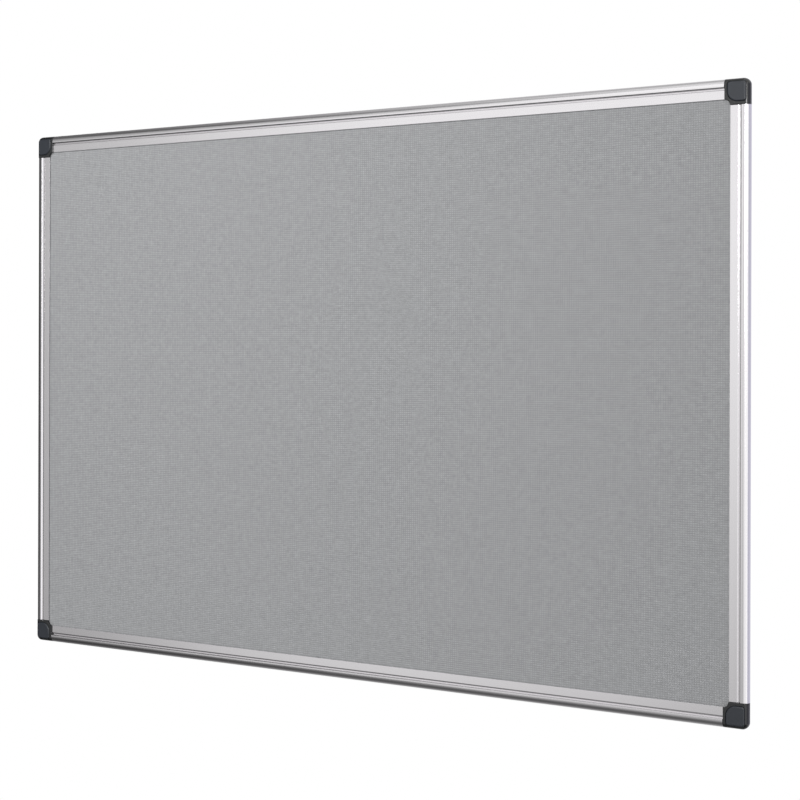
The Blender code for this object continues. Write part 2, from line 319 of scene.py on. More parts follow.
cloth_tree, cloth_in, cloth_out = geometry_tree("woven_cover", {
    "Float": ("Width", "Height", "Thickness", "Notch", "Weft Pitch", "Relief"),
    "Int": ("Columns", "Strips"), "Material": ("Material",),
})
flat = add(cloth_tree, "GeometryNodeMeshGrid", {
    "Size X": cloth_in["Width"], "Size Y": cloth_in["Height"],
    "Vertices X": math_node(cloth_tree, "ADD", cloth_in["Columns"], 1.0),
    "Vertices Y": math_node(cloth_tree, "ADD", cloth_in["Strips"], 1.0),
})
spot = position_in(cloth_tree)
laid, outside = [], []
for axis, size, count in ((0, "Width", "Columns"), (1, "Height", "Strips")):
    half = math_node(cloth_tree, "MULTIPLY", cloth_in[size], 0.5)
    inner = math_node(cloth_tree, "SUBTRACT", half, cloth_in["Notch"])
    cell = math_node(cloth_tree, "DIVIDE", cloth_in[size], cloth_in[count])
    last_line = math_node(cloth_tree, "SUBTRACT", half, cell)
    stretch = math_node(cloth_tree, "DIVIDE", inner, last_line)
    wide = math_node(cloth_tree, "MULTIPLY", spot[axis], stretch)
    wide = math_node(cloth_tree, "MAXIMUM", wide, math_node(cloth_tree, "MULTIPLY", half, -1.0))
    laid.append(math_node(cloth_tree, "MINIMUM", wide, half))
    distance = math_node(cloth_tree, "ABSOLUTE", spot[axis])
    outside.append(math_node(cloth_tree, "GREATER_THAN", distance, last_line))
at_corner = math_node(cloth_tree, "MULTIPLY", outside[0], outside[1])
notched = add(
    cloth_tree, "GeometryNodeDeleteGeometry",
    {"Geometry": flat.outputs[0], "Selection": at_corner}, domain="FACE",
)
sheet = add(cloth_tree, "GeometryNodeSetPosition", {
    "Geometry": notched.outputs[0], "Position": vector_of(cloth_tree, x=laid[0], z=laid[1]),
})
forward = math_node(cloth_tree, "MULTIPLY", cloth_in["Thickness"], -1.0)
carried, back = closed(cloth_tree, sheet.outputs[0], vector_of(cloth_tree, y=forward))
turns = math_node(cloth_tree, "DIVIDE", position_in(cloth_tree)[2], cloth_in["Weft Pitch"])
sink = math_node(cloth_tree, "SUBTRACT", 1.0, waves(cloth_tree, turns))
sink = math_node(cloth_tree, "MULTIPLY", sink, 0.5)
sink = math_node(cloth_tree, "MULTIPLY", sink, cloth_in["Relief"])
ribbed = add(cloth_tree, "GeometryNodeSetPosition", {
    "Geometry": carried["Mesh"], "Selection": carried["Top"],
    "Offset": vector_of(cloth_tree, y=sink),
})
cloth = welded(cloth_tree, ribbed.outputs[0], back)
finish_tree(cloth_tree, cloth, cloth_in["Material"], cloth_out)

weave, weave_in, weave_out = effect(
    "plain_weave",
    [("Place", "NodeSocketVector", None), ("Weft Pitch", "NodeSocketFloat", weft_pitch),
     ("Warp Pitch", "NodeSocketFloat", warp_pitch)],
    ["Height", "Yarn Tone", "Fuzz"],
)
spot = coordinates(weave, weave_in["Place"])
weft = math_node(weave, "DIVIDE", spot[2], weave_in["Weft Pitch"])
warp = math_node(weave, "DIVIDE", spot[0], weave_in["Warp Pitch"])
weft_wave, warp_wave = waves(weave, weft), waves(weave, warp)
crossing = math_node(weave, "MULTIPLY", weft_wave, warp_wave)
height = math_node(weave, "MULTIPLY_ADD", crossing, crossing_rise, 0.5)
height = math_node(weave, "MULTIPLY_ADD", weft_wave, weft_rise, height)
height = math_node(weave, "MULTIPLY_ADD", warp_wave, warp_rise, height)
row = vector_of(weave, x=spot[0], z=math_node(weave, "ROUND", weft, 0.0))
column = vector_of(weave, x=math_node(weave, "ROUND", warp, 0.0), z=spot[2])
row = scaled_vector(weave, row, (yarn_change_along, 1.0, yarn_change_across))
column = scaled_vector(weave, column, (yarn_change_across, 1.0, yarn_change_along))
row, column = noise(weave, row, 1.0, 3.0, 0.6), noise(weave, column, 1.0, 3.0, 0.6)
yarns = math_node(weave, "ADD", row, column)
weave.links.new(height, weave_out["Height"])
weave.links.new(math_node(weave, "MULTIPLY", yarns, 0.5), weave_out["Yarn Tone"])
weave.links.new(noise(weave, weave_in["Place"], fuzz_scale, 3.0, 0.65), weave_out["Fuzz"])

grey_fabric, tree, shader, place = new_material("grey_fabric")
woven = use_effect(tree, weave, {"Place": place})
yarn_level = add(tree, "ShaderNodeMapRange", {
    0: woven["Yarn Tone"], 1: 0.35, 2: 0.65, 3: 0.90, 4: 1.10,
}).outputs[0]
# Painted shade: the weave's hollows between the yarns are darker and its crowns lighter, over the
# relief that the bump draws
tone = mixed(tree, woven["Height"], grey(140, 0.02), grey(193, 0.025))
tone = levelled(tree, tone, yarn_level)
speckle = mixed(tree, woven["Fuzz"], grey(226), grey(255))
relief = math_node(tree, "MULTIPLY_ADD", woven["Fuzz"], 0.35, woven["Height"])
feed(tree, shader, {
    "Base Color": mixed(tree, 1.0, tone, speckle, "MULTIPLY"),
    "Normal": bump(tree, relief, 0.0001, 0.8),
    "Roughness": 0.95, "Specular IOR Level": 0.15,
    "Sheen Weight": 0.15, "Sheen Roughness": 0.4,
})

cloth_size = [high - low for low, high in zip(cloth_low, cloth_high)]
ribbed_height = cloth_size[2] - 2 * cloth_notch
weft_count = round(ribbed_height / weft_pitch)
cover = made_by(cloth_tree, "fabric_cover", {
    "Width": cloth_size[0], "Height": cloth_size[2], "Thickness": cloth_size[1],
    "Notch": cloth_notch, "Columns": cloth_columns,
    "Strips": weft_count * strips_per_weft + edge_strips,
    "Weft Pitch": ribbed_height / weft_count, "Relief": weft_relief, "Material": grey_fabric,
}, Matrix.Translation((0, cloth_high[1], 0)))
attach(cover, "board")
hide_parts("fabric_face")


# Backing sheet
# A half-millimetre sheet of grey board, glued to the back of the core so that it stays flat.
# Its fibres are longer and lie flatter than those of the core.
backing_fibre = 0.009

backing_paper, tree, shader, place = new_material("backing_paper")
pressed = use_effect(tree, fibres, {"Place": place, "Fibre Length": backing_fibre})
feed(tree, shader, {
    "Base Color": mixed(tree, pressed["Mask"], (0.50, 0.48, 0.45, 1), (0.62, 0.60, 0.56, 1)),
    "Normal": bump(tree, pressed["Height"], 0.00005),
    "Roughness": 0.8, "Specular IOR Level": 0.3,
})

backing = frame["nodes"]["back_sheet"]
backing.data.materials.clear()
backing.data.materials.append(backing_paper)


# Rails
# Four lengths of drawn and anodised aluminium section: an oval nose round a chamber, a groove and
# a flat flange that covers the edge of the fabric. Each is sawn off and drilled for two screws.
# In the section, u runs in from the outer edge and d runs back from the crown of the nose.
rail_width = 0.0190
rail_depth = 0.0111
rail_wall = 0.0012
nose_width = 0.0072
nose_depth = 0.0040
nose_land = 0.0015
crown_end = 0.0078
crown_edge_radius = 0.0003
groove_drop = 0.0024
groove_wall_end = 0.0093
groove_floor_end = 0.0098
flange_start = 0.0108
flange_start_radius = 0.0008
flange_drop = 0.0015
flange_back = 0.0026
flange_edge_radius = 0.0002
chamber_inner = 0.0096
channel_inner = 0.0108
channel_back = 0.0101
rear_lip_end = 0.0150
rear_radius = rail_depth - nose_depth - nose_land
round_steps = 20
edge_steps = 5
hole_rim_radius = 0.0029
hole_radius = 0.00175
hole_straight = 0.0002
hole_cone_end = 0.0015
hole_across = 0.0072
hole_from_end = 0.0100
tool_overrun = 0.0020
tool_sides = 40
slope_shadow = 0.76
wall_shadow = 0.58
level_slope = (0.0095, 0.0108)
level_wall = (0.0077, 0.0090)
upright_slope = (0.0088, 0.0104)
upright_wall = (0.0070, 0.0092)
cut_edge = 0.00025
# Share of painted shade on the cut edge of the upright rails' flanges, where they meet the fabric
cut_edge_painted_shade = 0.4
lines_along = 6.0
lines_across = 1800.0
clouds_in_metal = 14.0


def oval(u, d, radius_u, radius_d, start, end, steps):
    """Points along a stretch of an oval, from one angle to another, in degrees."""
    turn = (end - start) / steps
    angles = [math.radians(start + turn * i) for i in range(steps + 1)]
    return [(u + radius_u * math.cos(a), d + radius_d * math.sin(a)) for a in angles]


def arc(u, d, radius, start, end, steps):
    """Points along a round stretch."""
    return oval(u, d, radius, radius, start, end, steps)


nose_rear = nose_depth + nose_land
slope_turn = math.degrees(math.atan2(groove_drop - flange_drop, flange_start - groove_floor_end))
slope_tangent = flange_start_radius * math.tan(math.radians(slope_turn / 2))
flange_edge = rail_width - flange_edge_radius
outside = (
    oval(nose_width, nose_depth, nose_width, nose_depth, 180, 270, round_steps)
    + arc(crown_end - crown_edge_radius, crown_edge_radius, crown_edge_radius, 270, 345, edge_steps)
    + [(groove_wall_end, groove_drop), (groove_floor_end, groove_drop)]
    + arc(flange_start + slope_tangent, flange_drop + flange_start_radius, flange_start_radius,
          270 - slope_turn, 270, edge_steps)
    + arc(flange_edge, flange_drop + flange_edge_radius, flange_edge_radius, 270, 360, edge_steps)
    + [(rail_width, flange_back), (channel_inner, flange_back), (channel_inner, channel_back)]
    + [(rear_lip_end, channel_back), (rear_lip_end, rail_depth)]
    + arc(rear_radius, nose_rear, rear_radius, 90, 180, round_steps)
)
chamber_front = groove_drop + rail_wall
chamber = (
    oval(nose_width, nose_depth, nose_width - rail_wall, nose_depth - rail_wall, 180, 265,
         round_steps)
    + [(groove_wall_end - rail_wall, chamber_front), (chamber_inner, chamber_front)]
    + [(chamber_inner, rail_depth - rail_wall)]
    + arc(rear_radius, nose_rear, rear_radius - rail_wall, 90, 180, round_steps)
)
section = bpy.data.curves.new("rail_section", "CURVE")
section.dimensions = "2D"
for outline in (outside, chamber):
    spline = section.splines.new("POLY")
    spline.points.add(len(outline) - 1)
    for point, (u, d) in zip(spline.points, outline):
        point.co = (u, d, 0, 1)
    spline.use_cyclic_u = True
section_object = bpy.data.objects.new("rail_section", section)
scene.collection.objects.link(section_object)


def raised(tree, shape, height):
    """A shape moved along Z."""
    inputs = {"Geometry": shape, "Translation": vector_of(tree, z=height)}
    return add(tree, "GeometryNodeTransform", inputs).outputs[0]


def cylinder(tree, sides, radius, height, middle):
    """A closed cylinder about Z, with its middle at a height."""
    inputs = {"Vertices": sides, "Radius": radius, "Depth": height}
    return raised(tree, add(tree, "GeometryNodeMeshCylinder", inputs).outputs[0], middle)


def cone(tree, sides, top, bottom, height, base):
    """A closed cone about Z between two radii, with its base at a height."""
    inputs = {"Vertices": sides, "Radius Top": top, "Radius Bottom": bottom, "Depth": height}
    return raised(tree, add(tree, "GeometryNodeMeshCone", inputs).outputs[0], base)


def cut_by(tree, shape, tool):
    """A shape with a tool's shape taken out of it."""
    cut = add(tree, "GeometryNodeMeshBoolean", operation="DIFFERENCE", solver="EXACT")
    feed(tree, cut, {"Mesh 1": shape, "Mesh 2": tool})
    return cut.outputs["Mesh"]


rail_tree, rail_in, rail_out = geometry_tree("drawn_rail", {
    "Object": ("Section",), "Int": ("Sides",), "Material": ("Material",),
    "Float": ("Length", "Depth", "Hole Across", "Hole From End", "Hole Radius", "Rim Radius",
              "Rim Height", "Cone End", "Overrun"),
})
drawn = add(rail_tree, "GeometryNodeObjectInfo", {"Object": rail_in["Section"]})
face = add(rail_tree, "GeometryNodeFillCurve", {"Curve": drawn.outputs["Geometry"]}, mode="NGONS")
half = math_node(rail_tree, "MULTIPLY", rail_in["Length"], 0.5)
low_face = raised(rail_tree, face.outputs[0], math_node(rail_tree, "MULTIPLY", half, -1.0))
carried, back = closed(rail_tree, low_face, vector_of(rail_tree, z=rail_in["Length"]))
bar = welded(rail_tree, carried["Mesh"], back)

# The tool of a countersunk hole: a rim, a cone and a straight bore, turned towards the back
rim_height = math_node(rail_tree, "ADD", rail_in["Overrun"], rail_in["Rim Height"])
rim_middle = math_node(rail_tree, "MULTIPLY", rim_height, 0.5)
rim_middle = math_node(rail_tree, "SUBTRACT", rim_middle, rail_in["Rim Height"])
cone_height = math_node(rail_tree, "SUBTRACT", rail_in["Cone End"], rail_in["Rim Height"])
cone_base = math_node(rail_tree, "MULTIPLY", rail_in["Cone End"], -1.0)
bore_height = math_node(rail_tree, "MULTIPLY", rail_in["Cone End"], 3.0)
sides, rim_radius, bore_radius = rail_in["Sides"], rail_in["Rim Radius"], rail_in["Hole Radius"]
tool = (
    cylinder(rail_tree, sides, rim_radius, rim_height, rim_middle),
    cone(rail_tree, sides, rim_radius, bore_radius, cone_height, cone_base),
    cylinder(rail_tree, sides, bore_radius, bore_height, 0.0),
)
inset = math_node(rail_tree, "SUBTRACT", half, rail_in["Hole From End"])
for side in (-1.0, 1.0):
    along = math_node(rail_tree, "MULTIPLY", inset, side)
    spot = vector_of(rail_tree, rail_in["Hole Across"], rail_in["Depth"], along)
    for shape in tool:
        bar = cut_by(rail_tree, bar, add(rail_tree, "GeometryNodeTransform", {
            "Geometry": shape, "Translation": spot, "Rotation": (math.radians(-90), 0, 0),
        }).outputs[0])
finish_tree(rail_tree, bar, rail_in["Material"], rail_out)

drawing, drawing_in, drawing_out = effect(
    "drawn_metal",
    [("Place", "NodeSocketVector", None), ("Stretch", "NodeSocketVector", (1, 1, 1))],
    ["Lines", "Clouds"],
)
lines = scaled_vector(drawing, drawing_in["Place"], drawing_in["Stretch"])
clouds = noise(drawing, drawing_in["Place"], clouds_in_metal, 3.0, 0.55)
drawing.links.new(noise(drawing, lines, 1.0, 4.0, 0.6), drawing_out["Lines"])
drawing.links.new(clouds, drawing_out["Clouds"])


def between(tree, value, low, high):
    """One where a value lies between two others."""
    above = math_node(tree, "GREATER_THAN", value, low)
    return math_node(tree, "MULTIPLY", above, math_node(tree, "LESS_THAN", value, high))


def anodised(name, stretch, axis, shaded_slope, shaded_wall, edge_shade):
    """Satin anodised aluminium, drawn along two rails of the board, their grooves half in shadow.

    The shadow lies on the slope of the left or lower rail, which faces away from the light, and on
    the wall of the right or upper one. Both are given as stretches of u. Mirrored once more in the
    groove they would fill it, so they are only drawn in direct sight.
    """
    made, tree, shader, place = new_material(name)
    lines = use_effect(tree, drawing, {"Place": place, "Stretch": stretch})
    tone = mixed(tree, lines["Lines"], (0.91, 0.89, 0.91, 1), (0.965, 0.945, 0.965, 1))
    spot = coordinates(tree, place)
    u = math_node(tree, "SUBTRACT", board_reach[axis], math_node(tree, "ABSOLUTE", spot[axis]))
    d = math_node(tree, "SUBTRACT", spot[1], crown_plane)
    slope = math_node(tree, "MULTIPLY", between(tree, u, *shaded_slope), slope_shadow)
    wall = math_node(tree, "MULTIPLY", between(tree, u, *shaded_wall), wall_shadow)
    beyond = math_node(tree, "GREATER_THAN", spot[axis], 0.0)
    shadow = add(tree, "ShaderNodeMix", {0: beyond, 2: slope, 3: wall}).outputs[0]
    in_front = math_node(tree, "LESS_THAN", d, (groove_drop + flange_back) / 2)
    direct = tree.nodes.new("ShaderNodeLightPath").outputs["Is Camera Ray"]
    shadow = math_node(tree, "MULTIPLY", shadow, math_node(tree, "MULTIPLY", in_front, direct))
    tone = mixed(tree, shadow, tone, grey(60))
    # Painted shade: the flange's cut edge, where it meets the fabric, is darkened towards grey by
    # the given share
    at_end = between(tree, u, rail_width - cut_edge, rail_width + cut_edge)
    tone = mixed(tree, math_node(tree, "MULTIPLY", at_end, edge_shade), tone, grey(90))
    wear = math_node(tree, "MULTIPLY_ADD", lines["Lines"], 0.05, 0.11)
    wear = math_node(tree, "MULTIPLY_ADD", lines["Clouds"], 0.04, wear)
    feed(tree, shader, {
        "Base Color": tone, "Roughness": wear, "Metallic": 1.0,
        "Normal": bump(tree, lines["Lines"], 0.00001, 0.5),
    })
    return made


def weight_normals(piece):
    """Keeps wide flat faces flat where they meet narrow round ones."""
    weighted = piece.modifiers.new("Normals", "WEIGHTED_NORMAL")
    weighted.keep_sharp = True


crown_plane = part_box("rail_top")[0][1]
board_reach = {0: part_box("rail_right")[1][0], 2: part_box("rail_top")[1][2]}
anodised_along_x = anodised(
    "anodised_aluminium_x", (lines_along, lines_across, lines_across), 2,
    level_slope, level_wall, 0.0,
)
anodised_along_z = anodised(
    "anodised_aluminium_z", (lines_across, lines_across, lines_along), 0,
    upright_slope, upright_wall, cut_edge_painted_shade,
)
for name, turn, side_x, side_z in (
    ("rail_left", 0, -1, 0), ("rail_bottom", -90, 0, -1),
    ("rail_right", 180, 1, 0), ("rail_top", 90, 0, 1),
):
    low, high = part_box(name)
    edge_x = {-1: low[0], 0: 0, 1: high[0]}[side_x]
    edge_z = {-1: low[2], 0: 0, 1: high[2]}[side_z]
    place = Matrix.Translation((edge_x, low[1], edge_z))
    upright = side_x != 0
    rail = made_by(rail_tree, "frame_" + name, {
        "Section": section_object, "Length": high[2] - low[2] if upright else high[0] - low[0],
        "Depth": rail_depth, "Hole Across": hole_across, "Hole From End": hole_from_end,
        "Hole Radius": hole_radius, "Rim Radius": hole_rim_radius, "Rim Height": hole_straight,
        "Cone End": hole_cone_end, "Overrun": tool_overrun, "Sides": tool_sides,
        "Material": anodised_along_z if upright else anodised_along_x,
    }, place @ Matrix.Rotation(math.radians(turn), 4, "Y"))
    weight_normals(rail)
    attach(rail, "board")
    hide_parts(name)
bpy.data.objects.remove(section_object)


# Corner pieces
# Each is one moulding of dark satin plastic: a block that stands on the wall, a hollow seat for
# the cap, and two legs that are pushed into the chambers of the rails.
corners = ("bottom_left", "bottom_right", "top_left", "top_right")
bracket_edge = 0.0002
bracket_roughness = 0.17
bevel_segments = 2
rounded_from = 40.0
flat_within = 0.5
merge_distance = 0.000002
plastic_gloss = 0.8
clouds_in_plastic = 90.0

moulding, moulding_in, moulding_out = effect(
    "moulded_skin",
    [("Place", "NodeSocketVector", None), ("Grain Size", "NodeSocketFloat", 0.0004)],
    ["Grain", "Clouds"],
)
grains = math_node(moulding, "DIVIDE", 1.0, moulding_in["Grain Size"])
grain = noise(moulding, moulding_in["Place"], grains)
clouds = noise(moulding, moulding_in["Place"], clouds_in_plastic, 3.0)
moulding.links.new(grain, moulding_out["Grain"])
moulding.links.new(clouds, moulding_out["Clouds"])


def moulded(name, low, high, roughness, relief):
    """A moulded plastic between two tones, its skin finely grained."""
    made, tree, shader, place = new_material(name)
    skin = use_effect(tree, moulding, {"Place": place})
    feed(tree, shader, {
        "Base Color": mixed(tree, skin["Clouds"], low, high),
        "Roughness": math_node(tree, "MULTIPLY_ADD", skin["Grain"], 0.08, roughness),
        "Normal": bump(tree, skin["Grain"], relief, 0.6),
        "Specular IOR Level": plastic_gloss,
    })
    return made


def merged_copy(name, node_name, edge):
    """A piece with the shape of a CAD node, its triangles joined and its edges slightly rounded."""
    shape = bmesh.new()
    shape.from_mesh(frame["nodes"][node_name].data)
    bmesh.ops.remove_doubles(shape, verts=shape.verts, dist=merge_distance)
    bmesh.ops.dissolve_limit(
        shape, angle_limit=math.radians(flat_within), verts=shape.verts, edges=shape.edges,
    )
    mesh = bpy.data.meshes.new(name)
    shape.to_mesh(mesh)
    shape.free()
    mesh.materials.clear()
    smooth(mesh)
    made = bpy.data.objects.new(name, mesh)
    scene.collection.objects.link(made)
    rounding = made.modifiers.new("Edges", "BEVEL")
    rounding.width = edge
    rounding.segments = bevel_segments
    rounding.limit_method = "ANGLE"
    rounding.angle_limit = math.radians(rounded_from)
    weight_normals(made)
    return made


bracket_plastic = moulded(
    "bracket_plastic", grey(22, 0.12), grey(27, 0.14), bracket_roughness, 0.00001,
)
for corner in corners:
    node_name = "corner_bracket_" + corner
    bracket = merged_copy("bracket_" + corner, node_name, bracket_edge)
    bracket.data.materials.append(bracket_plastic)
    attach(bracket, "board")
    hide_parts(node_name)


# Cover caps
# Lighter grey plates with pillowed edges that hide the wall screws. Four prongs at the back of
# each grip the pocket of its corner piece, so that it snaps in and pulls off forwards.
cap_edge = 0.0001
cap_roughness = 0.36

cap_plastic = moulded("cap_plastic", grey(35, 0.40), grey(42, 0.44), cap_roughness, 0.00002)
for corner in corners:
    node_name = "cover_cap_" + corner
    cap = merged_copy("cap_" + corner, node_name, cap_edge)
    cap.data.materials.append(cap_plastic)
    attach(cap, "cap_" + corner)
    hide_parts(node_name)


# Screws
# Eight zinc-plated countersunk self-tapping screws with a cross recess, driven from behind
# through the rails into the legs of the corner pieces.
screw_head_radius = 0.0026
screw_rim = 0.0002
screw_head_height = 0.0015
screw_core_radius = 0.00105
screw_thread_radius = 0.00040
screw_thread_pitch = 0.0011
screw_length = 0.0060
screw_tip = 0.0020
recess_width = 0.0007
recess_span = 0.0028
recess_depth = 0.0011
screw_sides = 40
thread_points = 20
plating_grain = (900.0, 900.0, 900.0)

screw_tree, screw_in, screw_out = geometry_tree("cross_recess_screws", {
    "Object": ("Places",), "Int": ("Sides", "Thread Points"), "Material": ("Material",),
    "Float": ("Head Radius", "Rim", "Head Height", "Core Radius", "Thread Radius", "Pitch",
              "Length", "Tip", "Recess Width", "Recess Span", "Recess Depth"),
})
sides = screw_in["Sides"]
head_radius, core_radius = screw_in["Head Radius"], screw_in["Core Radius"]
rim_middle = math_node(screw_tree, "MULTIPLY", screw_in["Rim"], -0.5)
rim = cylinder(screw_tree, sides, head_radius, screw_in["Rim"], rim_middle)
cone_height = math_node(screw_tree, "SUBTRACT", screw_in["Head Height"], screw_in["Rim"])
cone_base = math_node(screw_tree, "MULTIPLY", screw_in["Head Height"], -1.0)
head = cone(screw_tree, sides, head_radius, core_radius, cone_height, cone_base)
tip_start = math_node(screw_tree, "SUBTRACT", screw_in["Length"], screw_in["Tip"])
shank_height = math_node(screw_tree, "SUBTRACT", tip_start, screw_in["Rim"])
shank_middle = math_node(screw_tree, "MULTIPLY", shank_height, -0.5)
shank_middle = math_node(screw_tree, "SUBTRACT", shank_middle, screw_in["Rim"])
shank = cylinder(screw_tree, sides, core_radius, shank_height, shank_middle)
tip_end = math_node(screw_tree, "MULTIPLY", screw_in["Length"], -1.0)
tip = cone(screw_tree, sides, core_radius, 0.0, screw_in["Tip"], tip_end)

thread_height = math_node(screw_tree, "SUBTRACT", tip_start, screw_in["Head Height"])
helix = add(screw_tree, "GeometryNodeCurveSpiral", {
    "Resolution": screw_in["Thread Points"], "Height": thread_height,
    "Rotations": math_node(screw_tree, "DIVIDE", thread_height, screw_in["Pitch"]),
    "Start Radius": core_radius, "End Radius": core_radius,
})
ridge = add(screw_tree, "GeometryNodeCurvePrimitiveCircle", {
    "Resolution": 4, "Radius": screw_in["Thread Radius"],
}, mode="RADIUS")
thread = add(screw_tree, "GeometryNodeCurveToMesh", {
    "Curve": helix.outputs[0], "Profile Curve": ridge.outputs[0], "Fill Caps": True,
})
thread_base = math_node(screw_tree, "SUBTRACT", screw_in["Tip"], screw_in["Length"])
thread = raised(screw_tree, thread.outputs[0], thread_base)

solid = add(screw_tree, "GeometryNodeMeshBoolean", operation="UNION", solver="EXACT")
for shape in (rim, head, shank):
    screw_tree.links.new(shape, solid.inputs["Mesh 2"])
solid = solid.outputs["Mesh"]
recess_height = math_node(screw_tree, "MULTIPLY", screw_in["Recess Depth"], 2.0)
recess = add(screw_tree, "GeometryNodeMeshCube", {
    "Size": vector_of(
        screw_tree, screw_in["Recess Span"], screw_in["Recess Width"], recess_height,
    ),
})
for turn in (45.0, 135.0):
    solid = cut_by(screw_tree, solid, add(screw_tree, "GeometryNodeTransform", {
        "Geometry": recess.outputs[0], "Rotation": (0, 0, math.radians(turn)),
    }).outputs[0])
places = add(screw_tree, "GeometryNodeObjectInfo", {"Object": screw_in["Places"]})
driven = add(screw_tree, "GeometryNodeInstanceOnPoints", {
    "Points": places.outputs["Geometry"], "Instance": joined(screw_tree, solid, tip, thread),
    "Rotation": (math.radians(-90), 0, 0),
})
finish_tree(screw_tree, driven.outputs[0], screw_in["Material"], screw_out)

zinc_plate, tree, shader, place = new_material("zinc_plate")
skin = use_effect(tree, drawing, {"Place": place, "Stretch": plating_grain})
feed(tree, shader, {
    "Base Color": mixed(tree, skin["Clouds"], (0.47, 0.49, 0.52, 1), (0.58, 0.58, 0.55, 1)),
    "Roughness": math_node(tree, "MULTIPLY_ADD", skin["Lines"], 0.15, 0.18),
    "Metallic": 1.0,
})

screw_nodes = ["screw_%s_%s" % (corner, arm) for corner in corners for arm in "xy"]
seats = []
for node_name in screw_nodes:
    low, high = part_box(node_name)
    seats.append(((low[0] + high[0]) / 2, high[1], (low[2] + high[2]) / 2))
seat_mesh = bpy.data.meshes.new("screw_places")
seat_mesh.from_pydata(seats, [], [])
seat_object = bpy.data.objects.new("screw_places", seat_mesh)
scene.collection.objects.link(seat_object)
screws = made_by(screw_tree, "screws", {
    "Places": seat_object, "Head Radius": screw_head_radius, "Rim": screw_rim,
    "Head Height": screw_head_height, "Core Radius": screw_core_radius,
    "Thread Radius": screw_thread_radius, "Pitch": screw_thread_pitch, "Length": screw_length,
    "Tip": screw_tip, "Recess Width": recess_width, "Recess Span": recess_span,
    "Recess Depth": recess_depth, "Sides": screw_sides, "Thread Points": thread_points,
    "Material": zinc_plate,
})
bpy.data.objects.remove(seat_object)
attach(screws, "board")
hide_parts(*screw_nodes)

# The hidden CAD solids get the finishes of the pieces that stand for them
finishes = {
    "anodised_aluminium": anodised_along_x, "grey_fabric": grey_fabric, "softboard": softboard,
    "backing_paper": backing_paper, "bracket_plastic": bracket_plastic,
    "cap_plastic": cap_plastic, "zinc_plate": zinc_plate,
}
for row in frame["record"]["subparts"]:
    shown = frame["nodes"][row["node"]]
    shown.data.materials.clear()
    shown.data.materials.append(finishes[row["material_slot"]])


# Studio
# A pale floor under the hanging board, a white surround, one large soft lamp from the upper left
# and a softbox at the right that only gloss shows. Soft grey screens, which also show only in the
# metal and the plastic, draw their bands.
floor_height = -1.2
floor_size = 3.6
floor_middle = -0.4
surround_light = 0.37
front = -3.0
ceiling = 2.45
far_left = -6.0
lilac = (0.97, 0.96, 1.12)


def ramp(tree, along, stops):
    """A level that changes along a coordinate, from pairs of place and level."""
    first, last = stops[0][0], stops[-1][0]
    share = add(tree, "ShaderNodeMapRange", {0: along, 1: first, 2: last}).outputs[0]
    made = add(tree, "ShaderNodeValToRGB", {0: share})
    line = made.color_ramp.elements
    for place, level in stops[1:-1]:
        line.new((place - first) / (last - first)).color = (level, level, level, 1)
    for number, level in ((0, stops[0][1]), (len(line) - 1, stops[-1][1])):
        line[number].color = (level, level, level, 1)
    return made.outputs[0]


def dimmed(tree, level, amount, lowest):
    """A level brought down towards a share of itself."""
    drop = math_node(tree, "MULTIPLY", amount, math_node(tree, "SUBTRACT", 1.0, lowest))
    return math_node(tree, "MULTIPLY", level, math_node(tree, "SUBTRACT", 1.0, drop))


def panel(name, points, material, only_in_gloss=True):
    """A flat sheet of the studio through four points."""
    mesh = bpy.data.meshes.new(name)
    mesh.from_pydata(points, [], [(0, 1, 2, 3)])
    mesh.materials.append(material)
    made = bpy.data.objects.new(name, mesh)
    scene.collection.objects.link(made)
    if only_in_gloss:
        made.visible_camera = False
        made.visible_diffuse = False
        made.visible_transmission = False
        made.visible_shadow = False


def screen(name, points, level_of, tint=(1, 1, 1)):
    """A glowing screen that only reflections show; its level is worked out from its place."""
    made, tree, shader, place = new_material(name)
    level = level_of(tree, *coordinates(tree, place))
    feed(tree, shader, {
        "Emission Color": levelled(tree, tint, level), "Emission Strength": 1.0,
        "Base Color": (0, 0, 0, 1), "Specular IOR Level": 0.0,
    })
    panel(name, points, made)


floor_paper, tree, shader, place = new_material("floor_paper")
feed(tree, shader, {
    "Base Color": mixed(tree, noise(tree, place, 40.0), grey(246), grey(252)),
    "Roughness": 1.0, "Specular IOR Level": 0.0,
})
reach = floor_size / 2
near, deep = floor_middle - reach, floor_middle + reach
panel("floor", [
    (-reach, near, floor_height), (reach, near, floor_height),
    (reach, deep, floor_height), (-reach, deep, floor_height),
], floor_paper, False)


def front_level(tree, x, y, z):
    """The band of the level rails' flanges: darker to the left, below and above."""
    level = ramp(tree, x, [
        (-6.0, 0.08), (-4.4, 0.15), (-3.7, 0.42), (-3.4, 0.56), (-3.15, 0.52), (-2.53, 0.75),
        (-1.95, 0.87), (-0.8, 0.87), (-0.25, 0.82), (0.23, 0.62), (0.73, 0.88), (1.3, 1.0),
        (2.6, 1.0),
    ])
    low = ramp(tree, z, [(-1.7, 1.0), (-1.3, 0.85), (-0.96, 0.62), (-0.1, 0.14), (0.3, 0.0)])
    level = dimmed(tree, level, low, ramp(tree, x, [
        (-3.3, 0.56), (-2.9, 0.64), (-2.53, 0.68), (-1.95, 0.62), (-1.42, 0.55), (-0.95, 0.38),
        (-0.8, 0.27), (0.75, 0.35), (1.3, 0.77),
    ]))
    above = ramp(tree, x, [
        (-5.0, 0.30), (-3.4, 0.33), (-2.7, 0.48), (-2.1, 0.55), (-1.6, 0.88), (-1.1, 1.0),
    ])
    high = ramp(tree, z, [(0.95, 0.0), (1.3, 0.7), (1.9, 1.0)])
    return mixed(tree, high, level, above)


